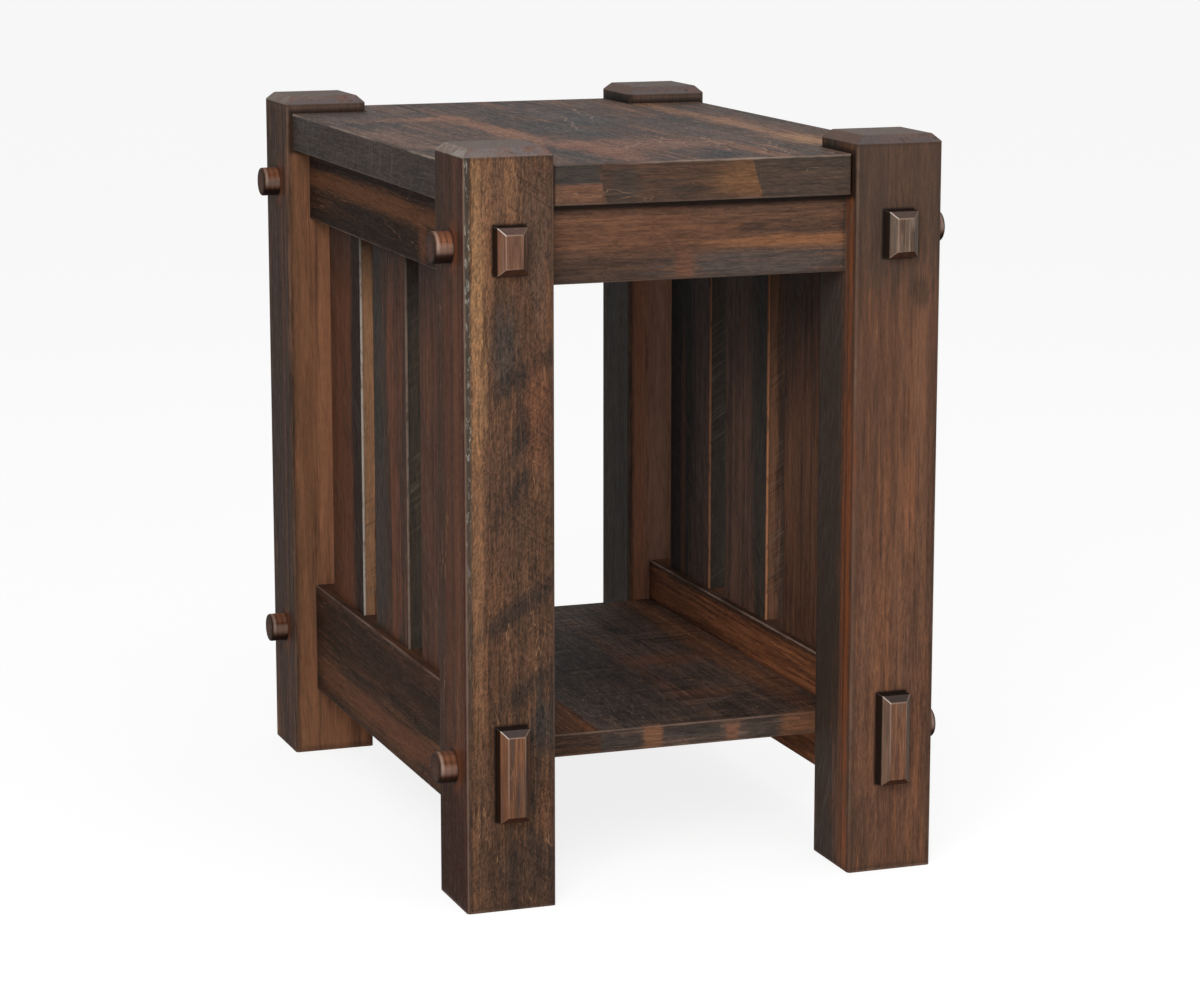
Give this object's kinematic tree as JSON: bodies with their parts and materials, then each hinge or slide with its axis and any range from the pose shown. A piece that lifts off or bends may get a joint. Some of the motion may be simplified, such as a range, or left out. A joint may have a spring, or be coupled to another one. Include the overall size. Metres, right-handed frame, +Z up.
{
  "type": "side table",
  "caption": "Rustic side table of dark stained planks on square posts, with through-tenoned and pegged side rails, slatted sides and a low open shelf.",
  "frame": {"origin": "on the floor under the middle of the table", "axes": "+X to the right along the front, +Y from the front to the back, +Z up"},
  "size_m": [0.4436, 0.6396, 0.622],
  "materials": {
    "post_wood": "dark walnut stain on rough-sawn hardwood, satin",
    "rail_wood": "dark walnut stain on rough-sawn hardwood, satin",
    "slat_wood": "dark walnut stain on rough-sawn hardwood, satin",
    "top_wood": "dark walnut stain on distressed planks, satin",
    "shelf_wood": "dark walnut stain on distressed planks, satin",
    "peg_wood": "dark reddish stain on turned hardwood, satin",
    "button_wood": "bare hardwood",
    "screw_steel": "plain bright steel"
  },
  "bodies": {
    "root": {"post_front_left": "post_wood", "post_front_right": "post_wood", "post_back_left": "post_wood", "post_back_right": "post_wood", "side_rail_upper_left": "rail_wood", "side_rail_upper_right": "rail_wood", "side_rail_lower_left": "rail_wood", "side_rail_lower_right": "rail_wood", "apron_front": "rail_wood", "apron_back": "rail_wood", "slat_left_1": "slat_wood", "slat_left_2": "slat_wood", "slat_left_3": "slat_wood", "slat_right_1": "slat_wood", "slat_right_2": "slat_wood", "slat_right_3": "slat_wood", "top_board_left": "top_wood", "shelf_board_left": "shelf_wood", "top_board_middle": "top_wood", "shelf_board_middle": "shelf_wood", "top_board_right": "top_wood", "shelf_board_right": "shelf_wood", "peg_upper_front_left": "peg_wood", "peg_upper_front_right": "peg_wood", "peg_upper_back_left": "peg_wood", "peg_upper_back_right": "peg_wood", "peg_lower_front_left": "peg_wood", "peg_lower_front_right": "peg_wood", "peg_lower_back_left": "peg_wood", "peg_lower_back_right": "peg_wood", "top_button_left_front": "button_wood", "top_button_left_back": "button_wood", "top_button_right_front": "button_wood", "top_button_right_back": "button_wood", "top_button_front": "button_wood", "top_button_back": "button_wood", "button_screws": "screw_steel"}
  },
  "joints": []
}
